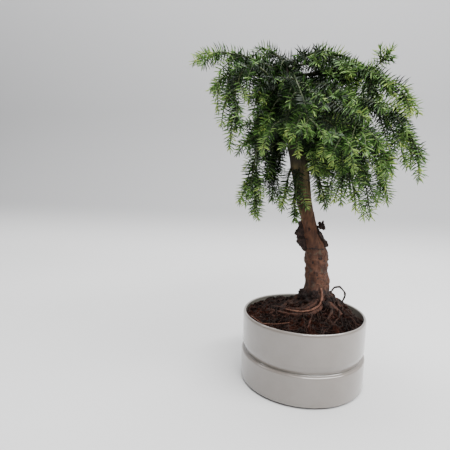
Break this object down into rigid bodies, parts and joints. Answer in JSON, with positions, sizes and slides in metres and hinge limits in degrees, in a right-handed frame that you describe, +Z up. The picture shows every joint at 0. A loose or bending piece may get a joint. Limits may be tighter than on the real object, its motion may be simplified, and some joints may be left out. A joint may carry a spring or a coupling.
{
  "type": "bonsai",
  "caption": "Hoop pine bonsai with a leaning, flared trunk and a weeping crown of needled shoots, in a round pot with a groove",
  "frame": {"origin": "the centre of the pot's flat underside", "axes": "+Z is up, -Y is the side the picture looks at, +X is the picture's right"},
  "size_m": [0.2791, 0.2456, 0.424],
  "materials": {
    "pot": "satin",
    "soil": "matte",
    "bark": "matte",
    "needles": "satin"
  },
  "bodies": {
    "root": {"bough_back": "bark", "bough_back_left": "bark", "bough_back_right": "bark", "bough_back_right_low": "bark", "bough_back_right_outer": "bark", "bough_back_top": "bark", "bough_front_high": "bark", "bough_front_left": "bark", "bough_front_right": "bark", "bough_front_right_high": "bark", "bough_front_right_low": "bark", "bough_front_short": "bark", "bough_left_hanging": "bark", "bough_left_hanging_back": "bark", "bough_left_hanging_front": "bark", "bough_left_high": "bark", "bough_left_middle": "bark", "bough_left_top": "bark", "bough_right_back_outer": "bark", "bough_right_front_outer": "bark", "bough_right_hanging_back": "bark", "bough_right_hanging_front": "bark", "bough_right_high": "bark", "bough_right_low": "bark", "bough_right_outer": "bark", "bough_right_top": "bark", "bough_right_upturned": "bark", "foliage_back": "needles", "foliage_back_left": "needles", "foliage_back_right": "needles", "foliage_back_right_low": "needles", "foliage_back_right_outer": "needles", "foliage_back_top": "needles", "foliage_beside_trunk": "needles", "foliage_front_high": "needles", "foliage_front_left": "needles", "foliage_front_right": "needles", "foliage_front_right_high": "needles", "foliage_front_right_low": "needles", "foliage_front_short": "needles", "foliage_left_back_top": "needles", "foliage_left_hanging": "needles", "foliage_left_hanging_back": "needles", "foliage_left_hanging_front": "needles", "foliage_left_high": "needles", "foliage_left_middle": "needles", "foliage_left_of_trunk": "needles", "foliage_left_top": "needles", "foliage_right_back_outer": "needles", "foliage_right_front_outer": "needles", "foliage_right_hanging_back": "needles", "foliage_right_hanging_front": "needles", "foliage_right_high": "needles", "foliage_right_low": "needles", "foliage_right_outer": "needles", "foliage_right_top": "needles", "foliage_right_upturned": "needles", "pot": "pot", "soil": "soil", "trunk": "bark"}
  },
  "joints": []
}
